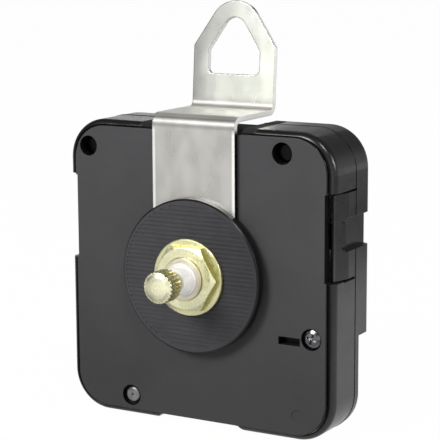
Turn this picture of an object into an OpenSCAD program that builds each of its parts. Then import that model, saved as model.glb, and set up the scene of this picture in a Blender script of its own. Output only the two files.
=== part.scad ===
// Quartz clock movement with a threaded dial bush, rubber washer and a metal hanger strap.
// Millimetres. +X right, +Y to the back, +Z up.
// The origin is on the shaft axis, at the middle of the bare front end of the bush.
// Depths named here (_y) are counted from the front face of the case, towards the back.

/* [Case] */

// Overall width of the case
case_w = 56; // [54:0.5:60]
// Overall height of the case
case_h = 56.3; // [54:0.1:60]
// Height of the case centre over the shaft axis
case_rise = -0.65; // [-1:0.05:1]
// Depth of the upper part that holds the gear train
case_depth = 15; // [15:0.1:16]
// Depth of the walls round the battery bay
bay_depth = 10.5; // [10:0.1:12]
// Radius of the four corners of the case
corner_r = 7.5; // [6:0.1:8]
// Rounding of the front edge of the cover
front_edge_r = 0.25; // [0.1:0.05:0.4]
// Depth of the front of the rim round the cover
rim_y = 0.35; // [0.2:0.05:0.6]
// Rounding of that rim
rim_r = 1.3; // [1:0.05:1.35]
// Rounding of the rear edges
rear_edge_r = 1.5; // [0.8:0.1:1.8]
// Outer wall thickness of the housing
wall = 1.3; // [1.1:0.1:1.5]
// Thickness of the flat front cover at its thickest
cover_t = 1.7; // [1.6:0.05:1.8]
// Distance of the cover from the sides of the case
cover_inset_x = 1.4; // [1.3:0.05:1.6]
// Distance of the cover from the top and bottom of the case
cover_inset_z = 1; // [0.9:0.05:1.3]
// Gap between the cover and the rim round it
rim_gap = 0.15; // [0.05:0.05:0.2]
// Height of the underside of the gear chamber
chamber_low = -10.5; // [-10.7:0.1:-10.4]
// Thickness of the wall between gear chamber and battery bay
bay_wall = 1.2; // [1:0.1:1.3]

/* [Snap tongues] */

// Lower end of the notch in the side of the cover
notch_low = 0.9; // [0.5:0.1:2]
// Upper end of the notch in the side of the cover
notch_high = 16.7; // [16:0.1:17.5]
// Depth of the notch in the side of the cover
notch_depth = 1.85; // [1.7:0.05:2]
// Depth of the front end of each tongue
tongue_y = 1.5; // [1.2:0.1:2]
// How far the front end of each tongue lies inside the side of the case
tongue_in = 0.8; // [0.4:0.1:0.9]
// Depth where the outer face of each tongue meets the side of the case
tongue_flush_y = 6; // [5:0.5:8]
// Width of the slits beside each tongue
slit_w = 0.45; // [0.3:0.05:0.6]
// Width of the narrow front part of the lower slit
slit_narrow_w = 0.2; // [0.1:0.05:0.3]
// Rear end of the upper slit
slit_high_y = 9; // [8:0.5:10]
// Depth where the lower slit gets wide
slit_low_front = 4; // [2:0.5:5]
// Rear end of the lower slit
slit_low_y = 8.5; // [8:0.5:11]
// Lower edge of the catch window
window_low = 6.3; // [6:0.1:7]
// Upper edge of the catch window
window_high = 11.5; // [11:0.1:12]
// Front edge of the catch window
window_y = 4.2; // [4:0.1:4.6]
// Length of the catch window
window_len = 2.2; // [2:0.1:2.6]
// Depth of the relief channel behind the window
channel_d = 1.3; // [0.8:0.1:1.4]
// Length of the slits in the top wall
top_slit_len = 6.35; // [5:0.05:6.4]
// Distance of the top slits from the middle
top_slit_x = 11.5; // [11:0.1:12.5]

/* [Recesses] */

// Half width of the recess in the top, under the strap
top_recess_x = 9.4; // [9:0.1:10]
// Depth of the recess in the top
top_recess_d = 1.2; // [0.8:0.1:1.3]
// Half width of the recess in the bottom edge
low_recess_x = 8.1; // [7:0.1:9]
// Depth of the recess in the bottom edge
low_recess_d = 1.1; // [0.6:0.05:1.2]

/* [Face holes] */

// Radius of three of the round holes in the face
face_hole_r = 2; // [1.8:0.05:2.2]
// Radius of the upper left hole
hole_tl_r = 1.9; // [1.8:0.05:2]
// Upper left hole, across
hole_tl_x = -23.5; // [-24:0.1:-22]
// Upper left hole, up
hole_tl_z = 22.4; // [21:0.1:23]
// Upper right hole, across
hole_tr_x = 17.7; // [17:0.1:18.5]
// Upper right hole, up
hole_tr_z = 23.5; // [23.2:0.1:23.8]
// Lower left hole, across
hole_bl_x = -14.6; // [-15:0.1:-13]
// Lower left hole, up
hole_bl_z = -25; // [-25.2:0.1:-24.6]
// Lower right hole, across
hole_br_x = 23.6; // [23:0.1:23.8]
// Lower right hole, up
hole_br_z = -9.6; // [-10:0.1:-9.2]
// Radius of the post ends behind the upper holes
post_r = 1.4; // [1.1:0.1:1.6]
// Left end of the slot in the face
slot_x = 17; // [16:0.1:17.5]
// Length of the slot
slot_len = 4.35; // [3:0.05:4.5]
// Lower edge of the slot
slot_z = -11.1; // [-11.4:0.1:-10.6]
// Height of the slot
slot_h = 1.45; // [1:0.05:1.6]

/* [Dial bush and washers] */

// Outer radius of the brass bush
bush_r = 3.95; // [3.8:0.05:4.2]
// How far the bush stands out of the case
bush_len = 5.25; // [5.2:0.05:5.6]
// Radius of the bush where it sits in the cover
bush_root_r = 4.3; // [4.2:0.05:4.6]
// Radius of the flange inside the cover
bush_flange_r = 5.2; // [5:0.1:5.6]
// Thickness of that flange
bush_flange_t = 0.4; // [0.3:0.05:0.5]
// Radius of the rubber washer
rubber_r = 14.35; // [13:0.05:15]
// Thickness of the rubber washer
rubber_t = 1.7; // [1.2:0.1:2]
// Spacing of the ribs on the rubber washer
rib_pitch = 0.8; // [0.7:0.05:1.2]
// Depth of the grooves between the ribs
rib_depth = 0.1; // [0.05:0.05:0.4]
// Width of the plain rim round the ribs
rubber_rim = 0.75; // [0.5:0.05:1.5]
// Radius of the brass washer
brass_r = 7.15; // [6.9:0.05:8]
// Thickness of the brass washer
brass_t = 0.7; // [0.5:0.05:0.8]
// Width across the flats of the nut
nut_flats = 11.5; // [11:0.1:12]
// Thickness of the nut
nut_t = 1.35; // [1.2:0.05:1.4]
// Clearance between the bush and each ring on it
ring_gap = 0.1; // [0.05:0.01:0.15]

/* [Hanger strap] */

// Thickness of the strap metal
strap_t = 1; // [0.8:0.05:1]
// Width of the strap
strap_w = 17.3; // [16:0.1:18]
// Height of the top surface of the strap over the case
strap_rise = 2; // [1.8:0.1:3]
// Inner radius of both bends
bend_r = 1; // [0.8:0.1:1.2]
// Depth of the front of the tab at its foot
tab_y = 13.55; // [12:0.05:14]
// Angle of the tab, leaning back
tab_tilt = 4.5; // [0:0.5:8]
// Height of the shoulders of the tab over the top of the strap
shoulder_up = 11.5; // [10.5:0.5:12.5]
// Height of the tip of the tab over the top of the strap
tip_up = 20; // [18.5:0.5:22.5]
// Radius of the tip
tip_r = 5.4; // [5:0.1:6]
// Lower edge of the hanging hole over the top of the strap
loop_low_up = 6.3; // [5.5:0.1:7.5]
// Half width of the hanging hole
loop_x = 5.5; // [5:0.1:6]
// Height where the sides of the hole turn inwards, over the top of the strap
loop_turn_up = 10.7; // [10:0.1:11.5]
// Height of the top of the hole over the top of the strap
loop_high_up = 16.9; // [15.5:0.1:17.5]
// Radius at the top of the hole
loop_top_r = 2.6; // [1.5:0.1:3]
// Radius of the lower corners of the hole
loop_corner_r = 1; // [0.5:0.1:1.5]

/* [Hand shafts] */

// Radius of the hour pipe inside the bush
hour_r = 3.1; // [2.9:0.05:3.2]
// Radius of the hour hand seat
hour_seat_r = 2.55; // [2.4:0.05:2.6]
// Depth where the hour hand seat begins
hour_seat_y = -5.6; // [-6:0.1:-5.5]
// Depth of the front end of the hour pipe
hour_front_y = -8.6; // [-9:0.1:-8]
// Radius of the minute arbor
minute_r = 1.8; // [1.7:0.05:1.9]
// Half width across the flats of the minute hand seat
minute_flat = 1.45; // [1.3:0.05:1.6]
// Depth of the front end of the minute hand seat
minute_seat_y = -10; // [-10.5:0.1:-9.8]
// Radius of the thread for the cap nut
minute_thread_r = 1.4; // [1.3:0.05:1.45]
// Depth of the front end of that thread
minute_front_y = -12.8; // [-13:0.1:-12]
// Radius of the second arbor
second_r = 0.4; // [0.3:0.05:0.5]
// Depth of the front end of the second arbor
second_front_y = -12.4; // [-12.6:0.1:-11]
// Running clearance of every shaft in its hole
run_gap = 0.05; // [0.03:0.01:0.08]
// Radius of the cap nut over its ridges
cap_r = 2.95; // [2.7:0.05:3.1]
// Length of the cap nut
cap_len = 4; // [3.5:0.1:4.5]
// Number of ridges on the cap nut
cap_ridges = 24; // [16:1:30]
// Depth of the ridges on the cap nut
cap_ridge_d = 0.25; // [0.15:0.05:0.35]

/* [Gear train] */

// Distance from the shaft to the third arbor
third_dist = 9.72; // [9.6:0.02:9.8]
// Direction of the third arbor
third_angle = 160; // [155:1:165]
// Distance from the shaft to the fifth arbor
fifth_dist = 9.8; // [9.7:0.05:9.9]
// Direction of the fifth arbor
fifth_angle = 30; // [27:1:33]
// Distance from the fifth arbor to the rotor
rotor_dist = 7.2; // [7:0.1:7.4]
// Direction of the rotor from the fifth arbor
rotor_angle = 20; // [17:1:23]
// Distance from the shaft to the stud of the minute wheel
minute_wheel_dist = 9; // [8.9:0.05:9.05]
// Direction of that stud
minute_wheel_angle = -8; // [-10:1:-6]
// Distance from that stud to the setting stem
set_dist = 10.125; // [10:0.025:10.2]
// Direction of the setting stem from that stud
set_angle = -10; // [-12:1:-8]
// Radius of the setting stem
set_stem_r = 1.2; // [1:0.05:1.25]
// Radius of the setting knob
set_knob_r = 4.05; // [3.8:0.05:4.1]
// Radius of the well that the knob sits in
set_well_r = 4.3; // [4.25:0.05:4.5]
// Radius of the pivots of the wheels
pivot_r = 0.35; // [0.3:0.01:0.4]
// Radius of the rotor magnet
magnet_r = 2.3; // [2:0.1:2.4]

/* [Inside] */

// Depth of the front of the middle plate
plate_y = 6.4; // [6.35:0.05:6.45]
// Thickness of the middle plate
plate_t = 1; // [0.9:0.05:1.05]
// Radius of the coil winding
coil_r = 2.5; // [2.2:0.1:2.6]
// Thickness of the circuit board
board_t = 0.8; // [0.6:0.1:1]
// Thickness of the contact metal
contact_t = 0.3; // [0.2:0.05:0.35]

/* [Hidden] */
$fn = 48;

// where the case face lies behind the origin
face_y = 5;
eps = 0.01;
case_top = case_rise + case_h / 2;
case_bot = case_rise - case_h / 2;
half_w = case_w / 2;
back_wall_y = case_depth - wall;
cover_w = case_w - 2 * cover_inset_x;
cover_h = case_h - 2 * cover_inset_z;
cover_r = corner_r - cover_inset_z;
chamber_floor = chamber_low + bay_wall;
bay_roof = chamber_low - 0.8;
bay_floor = case_bot + 1;
cell_z = (bay_floor + bay_roof) / 2;
strap_top = case_top + strap_rise;
shoulder_z = strap_top + shoulder_up;
tip_z = strap_top + tip_up;
loop_low = strap_top + loop_low_up;
loop_turn = strap_top + loop_turn_up;
loop_high = strap_top + loop_high_up;
rubber_y = -strap_t - rubber_t;
brass_y = rubber_y - brass_t;
nut_y = brass_y - nut_t;
plate_back = plate_y + plate_t;
boss_y = 12.6;
collar_t = 0.45;
collar_y = 3.6;
post_y = 1.8;
shoulder_y = 12.5;
// how much the depths inside the case follow the room between cover and back wall
depth_share = (back_wall_y - cover_t) / 12;

function dep(y) = cover_t + (y - 1.7) * depth_share;

// places of the arbors, across and up
third_at = [third_dist * cos(third_angle), third_dist * sin(third_angle)];
fifth_at = [fifth_dist * cos(fifth_angle), fifth_dist * sin(fifth_angle)];
rotor_at = fifth_at + rotor_dist * [cos(rotor_angle), sin(rotor_angle)];
minute_wheel_at = minute_wheel_dist * [cos(minute_wheel_angle), sin(minute_wheel_angle)];
set_at = minute_wheel_at + set_dist * [cos(set_angle), sin(set_angle)];

// posts that hold the middle plate
coil_y = 10.2;
coil_end = half_w - 7.8;
coil_z = case_top - 9.3;
plate_posts = [[5.2 - half_w, -7], [half_w - 5.5, 3.2], [5.2 - half_w, 14.6]];
stator_posts = [[0, coil_z], [half_w - 5.35, coil_z]];
board_posts = [[8.5 - half_w, case_top - 9.7], [-6.5, case_top - 9.7]];

// tooth counts, wheel by wheel
centre_n = 64;
third_pinion_n = 8;
third_n = 60;
second_pinion_n = 8;
second_n = 60;
fifth_pinion_n = 10;
fifth_n = 40;
rotor_n = 8;
cannon_n = 12;
minute_n = 36;
minute_pinion_n = 10;
hour_n = 40;
set_n = 18;

// modules from the centre distances
m_centre = 2 * third_dist / (centre_n + third_pinion_n);
m_third = 2 * third_dist / (third_n + second_pinion_n);
m_second = 2 * fifth_dist / (second_n + fifth_pinion_n);
m_fifth = 2 * rotor_dist / (fifth_n + rotor_n);
m_minute = 2 * minute_wheel_dist / (minute_n + cannon_n);
m_hour = 2 * minute_wheel_dist / (hour_n + minute_pinion_n);

// how a wheel must be turned so that its teeth fall between those of its neighbour
function mesh_turn(turn_a, n_a, dir, n_b) = dir + 180 + 180 / n_b - (turn_a - dir) * n_a / n_b;

second_turn = 0;
fifth_turn = mesh_turn(second_turn, second_n, fifth_angle, fifth_pinion_n);
rotor_turn = mesh_turn(fifth_turn, fifth_n, rotor_angle, rotor_n);
third_turn = mesh_turn(second_turn, second_pinion_n, third_angle, third_n);
centre_turn = mesh_turn(third_turn, third_pinion_n, third_angle + 180, centre_n);
cannon_turn = 0;
minute_turn = mesh_turn(cannon_turn, cannon_n, minute_wheel_angle, minute_n);
hour_turn = mesh_turn(minute_turn, minute_pinion_n, minute_wheel_angle + 180, hour_n);
set_turn = mesh_turn(minute_turn, minute_n, set_angle, set_n);

// points of one wheel tooth, set round a circle
function wheel_points(n, m, add, th, tip) = [
  for (k = [0:n - 1])
    for (q = [
      [n * m / 2 - 1.2 * m, -th * 1.15],
      [n * m / 2, -th],
      [n * m / 2 + add * m, -tip],
      [n * m / 2 + add * m, tip],
      [n * m / 2, th],
      [n * m / 2 - 1.2 * m, th * 1.15]
    ])
      let (a = k * 360 / n + q[1] * m / 2 / q[0] * 180 / PI)
        [q[0] * cos(a), q[0] * sin(a)]
];

// one pinion leaf: height in modules, width as a share of the half width
leaf_shape = [
  [-1.35, -1], [0, -1], [0.37, -0.72], [0.6, -0.3],
  [0.6, 0.3], [0.37, 0.72], [0, 1], [-1.35, 1]
];

// points of one pinion leaf with straight flanks and a rounded tip
function pinion_points(n, m) = [
  for (k = [0:n - 1])
    let (h = 0.6 / (n / 2) * 180 / PI)
      for (q = leaf_shape)
        let (a = k * 360 / n + q[1] * h, r = n * m / 2 + q[0] * m)
          [r * cos(a), r * sin(a)]
];

// stands a flat outline (across, up) between two depths
module slab(y0, y1) {
  translate([0, y1, 0])
    rotate([90, 0, 0])
      linear_extrude(y1 - y0)
        children();
}

// round bar along the depth
module bar(at, r, y0, y1) {
  translate([at[0], y0, at[1]])
    rotate([-90, 0, 0])
      cylinder(h = y1 - y0, r = r);
}

// turned piece: outline of radius and depth
module turned(at, pts) {
  translate([at[0], 0, at[1]])
    rotate([-90, 0, 0])
      rotate_extrude()
        polygon(pts);
}

// box from two corners
module block(lo, hi) {
  translate(lo)
    cube(hi - lo);
}

// stretches what is inside the case along the depth, with the case
module fitted_depth() {
  translate([0, cover_t, 0])
    scale([1, depth_share, 1])
      translate([0, -1.7, 0])
        children();
}

module wheel_teeth(at, turn, n, m, y0, y1, add = 0.95, th = 1.42, tip = 0.55) {
  translate([at[0], 0, at[1]])
    slab(y0, y1)
      rotate(turn)
        polygon(wheel_points(n, m, add, th, tip));
}

module pinion_teeth(at, turn, n, m, y0, y1) {
  translate([at[0], 0, at[1]])
    slab(y0, y1)
      rotate(turn)
        polygon(pinion_points(n, m));
}

// five round windows that lighten a wheel
module wheel_windows(at, ring_r, hole_r, y0, y1) {
  for (k = [0:4])
    bar(at + ring_r * [cos(72 * k), sin(72 * k)], hole_r, y0 - eps, y1 + eps);
}

// flat outline with round corners
module round_outline(w, h, r) {
  square([w - 2 * r, h], center = true);
  square([w, h - 2 * r], center = true);
  for (i = [-1, 1])
    for (j = [-1, 1])
      translate([i * (w / 2 - r), j * (h / 2 - r)])
        circle(r);
}

// section of a plate whose front and rear edges are rounded
module edge_section(w, y0, y1, rf, rb) {
  translate([-w / 2, y0 + rf])
    square([w, y1 - y0 - rf - rb]);
  translate([-w / 2 + rf, y0])
    square([w - 2 * rf, rf + eps]);
  translate([-w / 2 + rb, y1 - rb - eps])
    square([w - 2 * rb, rb + eps]);
  for (i = [-1, 1]) {
    if (rf > 0)
      translate([i * (w / 2 - rf), y0 + rf])
        circle(rf);
    if (rb > 0)
      translate([i * (w / 2 - rb), y1 - rb])
        circle(rb);
  }
}

// plate with round corners and rounded edges
module soft_slab(w, h, rc, y0, y1, rf, rb) {
  translate([0, 0, case_rise]) {
    linear_extrude(h - 2 * rc, center = true)
      edge_section(w, y0, y1, rf, rb);
    rotate([0, 90, 0])
      linear_extrude(w - 2 * rc, center = true)
        edge_section(h, y0, y1, rf, rb);
    for (i = [-1, 1])
      for (j = [-1, 1])
        translate([i * (w / 2 - rc), 0, j * (h / 2 - rc)])
          rotate([-90, 0, 0])
            rotate_extrude()
              intersection() {
                edge_section(2 * rc, y0, y1, rf, rb);
                translate([0, y0 - 1])
                  square([2 * rc, y1 - y0 + 2]);
              }
  }
}

// recess in the bottom edge, with sloping ends
module low_recess(y0, y1) {
  slab(y0, y1)
    polygon([
      [-low_recess_x - 1.4, case_bot - 0.1],
      [-low_recess_x, case_bot + low_recess_d],
      [low_recess_x, case_bot + low_recess_d],
      [low_recess_x + 1.4, case_bot - 0.1]
    ]);
}

module front_cover() {
  color([0.17, 0.17, 0.18])
    translate([0, face_y, 0])
      difference() {
        union() {
          soft_slab(cover_w, cover_h, cover_r, 0, cover_t, front_edge_r, 0);
          // catch arms that reach into the housing
          for (s = [-1, 1])
            scale([s, 1, 1]) {
              block(
                [half_w - notch_depth - 0.9, cover_t - 0.2, window_low + 0.4],
                [half_w - notch_depth, 6.1, window_high - 0.4]
              );
              block(
                [half_w - notch_depth - 0.2, window_y + 0.05, window_low + 0.4],
                [half_w - 0.7, 6.1, window_high - 0.4]
              );
            }
          // posts under the middle plate
          for (p = concat(plate_posts, stator_posts))
            bar(p, 1.2, cover_t - 0.2, dep(plate_y));
          bar(minute_wheel_at, 0.8, cover_t - 0.2, dep(4.2));
          bar(third_at, 1.2, cover_t - 0.2, dep(2.4));
          bar(set_at, 1.3, cover_t - 0.2, dep(2.4));
          // collars that take the ends of the two upper posts
          bar([hole_tl_x, hole_tl_z], hole_tl_r + collar_t, cover_t - 0.2, collar_y);
          bar([hole_tr_x, hole_tr_z], face_hole_r + collar_t, cover_t - 0.2, collar_y);
        }
        // side notches in front of the tongues
        for (s = [-1, 1])
          scale([s, 1, 1])
            block([half_w - notch_depth, -1, notch_low], [half_w + 1, cover_t + eps, notch_high]);
        block([-top_recess_x, -1, case_top - top_recess_d], [top_recess_x, cover_t + 1, case_top + 1]);
        low_recess(-1, cover_t + 1);
        bar([hole_tl_x, hole_tl_z], hole_tl_r, -1, collar_y + 1);
        bar([hole_tr_x, hole_tr_z], face_hole_r, -1, collar_y + 1);
        bar([hole_bl_x, hole_bl_z], face_hole_r, -1, 1.1);
        bar([hole_bl_x, hole_bl_z], 0.85, -1, cover_t + 1);
        bar([hole_br_x, hole_br_z], face_hole_r, -1, 1.1);
        bar([hole_br_x, hole_br_z], 1.15, -1, cover_t + 1);
        block([slot_x, -1, slot_z], [slot_x + slot_len, cover_t + 1, slot_z + slot_h]);
        bar([20.8, -24.1], 1.1, -1, 0.1);
        // seat of the bush
        bar([0, 0], bush_root_r, -1, cover_t + 1);
        bar([0, 0], bush_flange_r, cover_t - bush_flange_t, cover_t + 1);
        // pivot holes
        bar(third_at, pivot_r + run_gap, 1.1, 3);
        bar(set_at, 0.6 + run_gap, 1.1, 3);
      }
}

// mouth of the housing, in which the cover lies
module cover_seat() {
  slab(-1, cover_t)
    translate([0, case_rise])
      round_outline(cover_w + 2 * rim_gap, cover_h + 2 * rim_gap, cover_r + rim_gap);
}

// room in front of one tongue and the slope of its outer face
module tongue_relief() {
  side = half_w + 1;
  low = notch_low - 0.2;
  block([half_w - notch_depth - 1, -1, low], [side, tongue_y, notch_high]);
  translate([0, 0, low])
    linear_extrude(notch_high - low)
      polygon([
        [half_w - tongue_in, tongue_y - 1],
        [side, tongue_y - 1],
        [side, tongue_flush_y],
        [half_w, tongue_flush_y],
        [half_w - tongue_in, tongue_y + 0.6]
      ]);
}

// cut that gives the gear chamber its rounded lower rear edge
module chamber_cut() {
  difference() {
    block([-40, bay_depth, case_bot - 5], [40, case_depth + 5, chamber_low + 1.3]);
    block([-41, bay_depth - 1, chamber_low], [41, case_depth - 1.3, chamber_low + 2]);
    translate([-41, case_depth - 1.3, chamber_low + 1.3])
      rotate([0, 90, 0])
        cylinder(h = 82, r = 1.3);
  }
}

module rear_housing() {
  color([0.16, 0.16, 0.17])
    translate([0, face_y, 0])
      difference() {
        union() {
          difference() {
            union() {
              soft_slab(case_w, case_h, corner_r, rim_y, case_depth, rim_r, rear_edge_r);
              // fine ridge where the mould halves met
              soft_slab(case_w + 0.16, case_h + 0.16, corner_r + 0.08, 8.9, 9.15, 0, 0);
            }
            chamber_cut();
            cover_seat();
            // gear chamber
            difference() {
              slab(cover_t - 1, back_wall_y)
                difference() {
                  translate([0, case_rise])
                    round_outline(case_w - 2 * wall, case_h - 2 * wall, corner_r - wall);
                  translate([-40, -40])
                    square([80, 40 + chamber_floor]);
                }
              // walls kept behind the side channels and under the top recess
              for (s = [-1, 1])
                scale([s, 1, 1])
                  block(
                    [half_w - wall - 1, window_y + window_len, window_low - 1.1],
                    [half_w, case_depth, window_high + 1.5]
                  );
              block(
                [-top_recess_x - 1, 0, case_top - top_recess_d - wall],
                [top_recess_x + 1, case_depth, 40]
              );
            }
            // battery bay, open to the back
            difference() {
              slab(cover_t - 1, case_depth + 1)
                difference() {
                  translate([0, case_rise])
                    round_outline(case_w - 2 * wall, case_h - 2, corner_r - wall);
                  translate([-40, bay_roof])
                    square([80, 80]);
                }
              block(
                [-low_recess_x - 2.2, 0, case_bot],
                [low_recess_x + 2.2, case_depth, case_bot + low_recess_d + 0.9]
              );
            }
            // side channels and catch windows
            for (s = [-1, 1])
              scale([s, 1, 1]) {
                block(
                  [half_w - channel_d, window_y + 0.7, window_low - 0.4],
                  [half_w + 1, case_depth + 1, window_high + 0.4]
                );
                block(
                  [half_w - wall - 0.2, window_y, window_low],
                  [half_w + 1, window_y + window_len, window_high]
                );
                block(
                  [half_w - wall - eps, 0, notch_high - slit_w / 2],
                  [half_w + 1, slit_high_y, notch_high + slit_w / 2]
                );
                block(
                  [half_w - wall - eps, slit_low_front, notch_low - 0.2 - slit_w / 2],
                  [half_w + 1, slit_low_y, notch_low - 0.2 + slit_w / 2]
                );
                block(
                  [half_w - wall - eps, 0, notch_low - 0.2],
                  [half_w + 1, slit_low_front + eps, notch_low - 0.2 + slit_narrow_w]
                );
                tongue_relief();
              }
            block(
              [-top_recess_x, -1, case_top - top_recess_d],
              [top_recess_x, case_depth + 1, case_top + 1]
            );
            for (s = [-1, 1])
              translate([s * top_slit_x, 0, 0])
                block(
                  [-slit_w / 2, 8.5, case_top - wall - eps],
                  [slit_w / 2, 8.5 + top_slit_len, case_top + 1]
                );
            low_recess(0, case_depth);
          }
          // posts, bosses and webs
          bar([hole_tl_x, hole_tl_z], post_r, post_y, back_wall_y + 0.2);
          bar([hole_tr_x, hole_tr_z], post_r, post_y, back_wall_y + 0.2);
          bar([hole_br_x, hole_br_z], 2, cover_t, 9.5);
          block([hole_br_x, cover_t, hole_br_z - 1], [half_w - 1, 9.5, hole_br_z + 1]);
          bar([hole_bl_x, hole_bl_z], 1.6, cover_t, 3.1);
          block([hole_bl_x - 1, cover_t, bay_floor - 0.2], [hole_bl_x + 1, 3.1, hole_bl_z]);
          for (p = plate_posts)
            bar(p, 1.2, dep(plate_back), back_wall_y + 0.2);
          for (p = [[0, 0], third_at, fifth_at, rotor_at])
            bar(p, 1.2, dep(boss_y), back_wall_y + 0.2);
          bar(set_at, set_well_r + 0.7, dep(11.9), back_wall_y + 0.2);
        }
        // well for the setting knob
        bar(set_at, set_well_r, dep(12.9), case_depth + 1);
        bar(set_at, set_stem_r + run_gap, dep(11), case_depth);
        for (p = [[0, 0], third_at, fifth_at, rotor_at])
          bar(p, pivot_r + run_gap, dep(boss_y) - 1, back_wall_y + 0.3);
        bar([hole_br_x, hole_br_z], 1.02, 0, 8);
        bar([hole_bl_x, hole_bl_z], 0.8, 0, 4);
        // slots for the tails of the battery contacts
        for (s = [-1, 1])
          scale([s, 1, 1])
            block(
              [half_w - wall - 0.5, dep(7.9), bay_roof - 1],
              [half_w - wall, dep(10.1), chamber_floor + 1]
            );
      }
}

module threaded_bush() {
  color([0.8, 0.66, 0.32])
    translate([0, face_y, 0])
      turned([0, 0], [
        [hour_r + run_gap, -bush_len - 0.05],
        [bush_r - 0.12, -bush_len - 0.05],
        [bush_r, -bush_len + 0.07],
        [bush_r, 0],
        [bush_root_r, 0],
        [bush_root_r, cover_t - bush_flange_t],
        [bush_flange_r, cover_t - bush_flange_t],
        [bush_flange_r, cover_t],
        [hour_r + run_gap, cover_t]
      ]);
}

module hex_nut() {
  corner = nut_flats / sqrt(3);
  color([0.86, 0.74, 0.42])
    translate([0, face_y, 0])
      intersection() {
        translate([0, nut_y, 0])
          rotate([-90, 0, 0])
            cylinder(h = nut_t, r = corner, $fn = 6);
        turned([0, 0], [
          [bush_r + ring_gap / 2, nut_y],
          [nut_flats / 2 - 0.1, nut_y],
          [corner + 0.05, nut_y + 0.42],
          [corner + 0.05, nut_y + nut_t],
          [bush_r + ring_gap / 2, nut_y + nut_t]
        ]);
      }
}

module brass_washer() {
  color([0.86, 0.74, 0.42])
    translate([0, face_y, 0])
      turned([0, 0], [
        [bush_r + ring_gap, brass_y],
        [brass_r - 0.15, brass_y],
        [brass_r, brass_y + 0.15],
        [brass_r, rubber_y],
        [bush_r + ring_gap, rubber_y]
      ]);
}

module rubber_washer() {
  rows = floor((rubber_r - rubber_rim) / rib_pitch - 0.3);
  color([0.13, 0.12, 0.14])
    translate([0, face_y, 0])
      difference() {
        turned([0, 0], [
          [bush_r + ring_gap, rubber_y],
          [rubber_r - 0.3, rubber_y],
          [rubber_r, rubber_y + 0.3],
          [rubber_r, -strap_t],
          [bush_r + ring_gap, -strap_t]
        ]);
        // grooves that leave straight ribs
        for (k = [-rows:rows])
          let (half = sqrt(pow(rubber_r - rubber_rim, 2) - pow(abs(k * rib_pitch) + rib_pitch / 4, 2)))
            block(
              [-half, rubber_y - 1, k * rib_pitch - rib_pitch / 4],
              [half, rubber_y + rib_depth, k * rib_pitch + rib_pitch / 4]
            );
      }
}

// points along an arc
function arc(c, r, a0, a1, n) = [
  for (i = [0:n])
    let (a = a0 + (a1 - a0) * i / n)
      c + r * [cos(a), sin(a)]
];

// direction from a centre to the point where a line from p touches the circle
function touch(p, c, r) = atan2(p[1] - c[1], p[0] - c[0]) + acos(r / norm(p - c));

// side view of the bent strap: depth and height
module strap_side(bend_y, bend_z, foot_z, tab_len) {
  outer = bend_r + strap_t;
  low = [bend_r, bend_z];
  high = [bend_y, foot_z];
  up = tab_len * [sin(tab_tilt), cos(tab_tilt)];
  out = [cos(tab_tilt), -sin(tab_tilt)];
  polygon(concat(
    [[-strap_t, -strap_w]],
    arc(low, outer, 180, 90, 12),
    arc(high, bend_r, -90, -tab_tilt, 10),
    [high + bend_r * out + up, high + outer * out + up],
    arc(high, outer, -tab_tilt, -90, 12),
    arc(low, bend_r, 90, 180, 10),
    [[0, -strap_w]]
  ));
}

// what is cut away round the tip of the tab
module tip_waste(foot) {
  half = strap_w / 2;
  sh = shoulder_z - foot;
  tip = tip_z - foot;
  ctr = [0, tip - tip_r];
  a = touch([half, sh], ctr, tip_r);
  polygon(concat(
    [[half + 1, sh], [half, sh]],
    arc(ctr, tip_r, a, 180 - a, 16),
    [[-half, sh], [-half - 1, sh], [-half - 1, tip + 3], [half + 1, tip + 3]]
  ));
}

// hanging hole: straight foot, round corners and a round top
module loop_outline(foot) {
  low = loop_low - foot;
  turn = [loop_x, loop_turn - foot];
  top = [0, loop_high - loop_top_r - foot];
  a = touch(turn, top, loop_top_r);
  r = loop_corner_r;
  polygon(concat(
    arc([loop_x - r, low + r], r, -90, 0, 6),
    [turn],
    arc(top, loop_top_r, a, 180 - a, 10),
    [[-loop_x, turn[1]]],
    arc([-loop_x + r, low + r], r, 180, 270, 6)
  ));
}

module hanger_strap() {
  half = strap_w / 2;
  bend_z = strap_top - strap_t - bend_r;
  foot_z = strap_top + bend_r;
  bend_y = tab_y - bend_r;
  color([0.74, 0.73, 0.71])
    translate([0, face_y, 0])
      difference() {
        translate([-half, 0, 0])
          rotate([90, 0, 90])
            linear_extrude(strap_w)
              strap_side(bend_y, bend_z, foot_z, tip_z - foot_z + 1);
        // round lower end of the leg
        slab(-strap_t - 1, 1)
          polygon(concat(
            [[-half - 1, 0]],
            arc([0, 0], half, 180, 360, 32),
            [[half + 1, 0], [half + 1, -strap_w - 2], [-half - 1, -strap_w - 2]]
          ));
        bar([0, 0], bush_r + 0.15, -strap_t - 1, 1);
        // tip and hanging hole
        translate([0, bend_y, foot_z])
          rotate([-tab_tilt, 0, 0])
            slab(-1, bend_r + strap_t + 2) {
              tip_waste(foot_z);
              loop_outline(foot_z);
            }
      }
}

// outline of the ridged part of the cap nut
function ridge_points(n, r, d) = [
  for (k = [0:n - 1])
    for (q = [[-0.5, -d], [-0.18, 0], [0.18, 0]])
      let (a = (k + q[0]) * 360 / n)
        [(r + q[1]) * cos(a), (r + q[1]) * sin(a)]
];

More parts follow.
